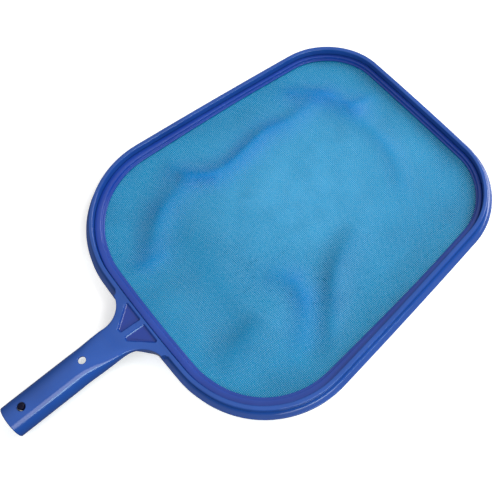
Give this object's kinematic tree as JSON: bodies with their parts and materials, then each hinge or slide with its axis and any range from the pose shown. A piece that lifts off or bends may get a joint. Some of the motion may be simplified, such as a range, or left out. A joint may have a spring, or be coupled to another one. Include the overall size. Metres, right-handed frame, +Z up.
{
  "type": "leaf skimmer net",
  "caption": "Flat hand-skimmer head: rounded tapered plastic rim, slack woven net held by a push-in ring, and a round handle with a spring clip and snap buttons.",
  "frame": {"origin": "middle of the footprint, on the plane that the rim's underside lies on", "axes": "+Y from the handle to the far edge of the rim, +Z up out of the net's open side, +X to the right"},
  "size_m": [0.2962, 0.4544, 0.0325],
  "materials": {
    "frame_plastic": "glossy moulded polypropylene",
    "ring_plastic": "satin moulded polypropylene",
    "net_cloth": "fine open woven mesh",
    "spring_steel": "rolled stainless strip",
    "button_plastic": "moulded"
  },
  "bodies": {
    "skimmer": {"frame": "frame_plastic", "retaining_ring": "ring_plastic", "net": "net_cloth", "clip_bend": "spring_steel"},
    "upper_leg": {"upper_clip_leg": "spring_steel", "upper_button": "button_plastic"},
    "lower_leg": {"lower_clip_leg": "spring_steel", "lower_button": "button_plastic"}
  },
  "joints": [
    {"name": "upper_button_press", "type": "hinge", "parent": "skimmer", "child": "upper_leg", "pos_m": [0, -0.1733, 0.0197], "axis": [1, 0, 0], "range_deg": [0, 3.6], "stiffness_Nm_per_rad": 2.5, "springref_deg": -1.72},
    {"name": "lower_button_press", "type": "hinge", "parent": "skimmer", "child": "lower_leg", "pos_m": [0, -0.1733, 0.0129], "axis": [-1, 0, 0], "range_deg": [0, 3.6], "stiffness_Nm_per_rad": 2.5, "springref_deg": -1.72}
  ]
}
